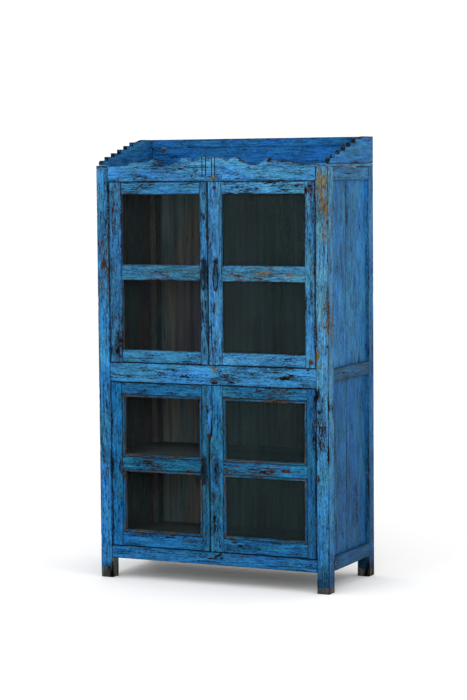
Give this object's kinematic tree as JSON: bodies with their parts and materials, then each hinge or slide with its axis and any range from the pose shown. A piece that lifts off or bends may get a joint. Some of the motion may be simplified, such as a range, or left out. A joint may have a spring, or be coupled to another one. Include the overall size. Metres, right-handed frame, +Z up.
{
  "type": "china cabinet with glass doors",
  "caption": "Tall two-tier painted cupboard with glazed double doors above and below, scalloped crest, stepped gallery on top, drop pulls and turn buttons.",
  "frame": {"origin": "on the floor, under the middle of the whole object's box", "axes": "+Z up along the height, front (doors) towards -Y, +X to the right seen from the front"},
  "size_m": [1.022, 0.4894, 1.8],
  "materials": {
    "case_paint": "worn blue paint on hardwood, streaked with lighter sky blue, chipped to dark wood at the edges",
    "side_paint": "smoother, deeper blue paint on hardwood",
    "door_paint": "worn blue paint on hardwood with bare wood showing at the edges and rails",
    "bare_wood": "dark stained unpainted boards inside and behind",
    "glass": "clear old window glass",
    "iron": "dark rusty iron with traces of blue paint",
    "tan_metal": "dull tan, worn"
  },
  "bodies": {
    "cabinet": {"front_left_post": "case_paint", "front_right_post": "case_paint", "rear_left_post": "case_paint", "rear_right_post": "case_paint", "front_top_rail": "case_paint", "front_middle_rail": "case_paint", "front_bottom_rail": "case_paint", "left_top_rail": "side_paint", "left_middle_rail": "side_paint", "left_bottom_rail": "side_paint", "right_top_rail": "side_paint", "right_middle_rail": "side_paint", "right_bottom_rail": "side_paint", "left_upper_panel": "side_paint", "left_lower_panel": "side_paint", "right_upper_panel": "side_paint", "right_lower_panel": "side_paint", "upper_back_panel": "bare_wood", "lower_back_panel": "bare_wood", "top_board": "case_paint", "middle_board": "bare_wood", "bottom_board": "bare_wood", "upper_shelf": "bare_wood", "lower_shelf": "bare_wood", "gallery_left_end": "side_paint", "gallery_right_end": "side_paint", "gallery_back": "case_paint", "upper_left_door_lower_hinge": "iron", "upper_left_door_upper_hinge": "iron", "upper_right_door_lower_hinge": "iron", "upper_right_door_upper_hinge": "iron", "lower_left_door_lower_hinge": "iron", "lower_left_door_upper_hinge": "iron", "lower_right_door_lower_hinge": "iron", "lower_right_door_upper_hinge": "iron"},
    "upper_left_door": {"upper_left_door_frame": "door_paint", "upper_left_door_lower_glass": "glass", "upper_left_door_upper_glass": "glass", "upper_left_pull_rose": "iron"},
    "upper_right_door": {"upper_right_door_frame": "door_paint", "upper_right_door_lower_glass": "glass", "upper_right_door_upper_glass": "glass", "upper_right_pull_rose": "iron"},
    "lower_left_door": {"lower_left_door_frame": "door_paint", "lower_left_door_lower_glass": "glass", "lower_left_door_upper_glass": "glass", "lower_left_pull_rose": "iron"},
    "lower_right_door": {"lower_right_door_frame": "door_paint", "lower_right_door_lower_glass": "glass", "lower_right_door_upper_glass": "glass", "lower_right_pull_rose": "iron"},
    "upper_left_pull": {"upper_left_pull_drop": "iron"},
    "upper_right_pull": {"upper_right_pull_drop": "iron"},
    "lower_left_pull": {"lower_left_pull_drop": "iron"},
    "lower_right_pull": {"lower_right_pull_drop": "iron"},
    "top_rail_turn_button": {"top_rail_turn_button": "tan_metal"},
    "middle_rail_upper_turn_button": {"middle_rail_upper_turn_button": "tan_metal"},
    "middle_rail_lower_turn_button": {"middle_rail_lower_turn_button": "iron"},
    "bottom_rail_turn_button": {"bottom_rail_turn_button": "iron"}
  },
  "joints": [
    {"name": "upper_left_door_hinge", "type": "hinge", "parent": "cabinet", "child": "upper_left_door", "pos_m": [-0.4555, -0.23565, 1.2575], "axis": [0, 0, -1], "range_deg": [0, 120]},
    {"name": "upper_right_door_hinge", "type": "hinge", "parent": "cabinet", "child": "upper_right_door", "pos_m": [0.4555, -0.23565, 1.2575], "axis": [0, 0, 1], "range_deg": [0, 120]},
    {"name": "lower_left_door_hinge", "type": "hinge", "parent": "cabinet", "child": "lower_left_door", "pos_m": [-0.4555, -0.23565, 0.4735], "axis": [0, 0, -1], "range_deg": [0, 120]},
    {"name": "lower_right_door_hinge", "type": "hinge", "parent": "cabinet", "child": "lower_right_door", "pos_m": [0.4555, -0.23565, 0.4735], "axis": [0, 0, 1], "range_deg": [0, 120]},
    {"name": "upper_left_pull_pivot", "type": "hinge", "parent": "upper_left_door", "child": "upper_left_pull", "pos_m": [-0.026, -0.23975, 1.308], "axis": [-1, 0, 0], "range_deg": [0, 100]},
    {"name": "upper_right_pull_pivot", "type": "hinge", "parent": "upper_right_door", "child": "upper_right_pull", "pos_m": [0.028, -0.23975, 1.306], "axis": [-1, 0, 0], "range_deg": [0, 100]},
    {"name": "lower_left_pull_pivot", "type": "hinge", "parent": "lower_left_door", "child": "lower_left_pull", "pos_m": [-0.033, -0.23975, 0.512], "axis": [-1, 0, 0], "range_deg": [0, 100]},
    {"name": "lower_right_pull_pivot", "type": "hinge", "parent": "lower_right_door", "child": "lower_right_pull", "pos_m": [0.021, -0.23975, 0.511], "axis": [-1, 0, 0], "range_deg": [0, 100]},
    {"name": "top_rail_turn_button_screw", "type": "hinge", "parent": "cabinet", "child": "top_rail_turn_button", "pos_m": [0.0175, -0.23125, 1.6365], "axis": [0, -1, 0], "continuous": true},
    {"name": "middle_rail_upper_turn_button_screw", "type": "hinge", "parent": "cabinet", "child": "middle_rail_upper_turn_button", "pos_m": [0.017, -0.23125, 0.8775], "axis": [0, -1, 0], "continuous": true},
    {"name": "middle_rail_lower_turn_button_screw", "type": "hinge", "parent": "cabinet", "child": "middle_rail_lower_turn_button", "pos_m": [0.0165, -0.23125, 0.82], "axis": [0, -1, 0], "continuous": true},
    {"name": "bottom_rail_turn_button_screw", "type": "hinge", "parent": "cabinet", "child": "bottom_rail_turn_button", "pos_m": [0.027, -0.23125, 0.124], "axis": [0, -1, 0], "continuous": true}
  ]
}
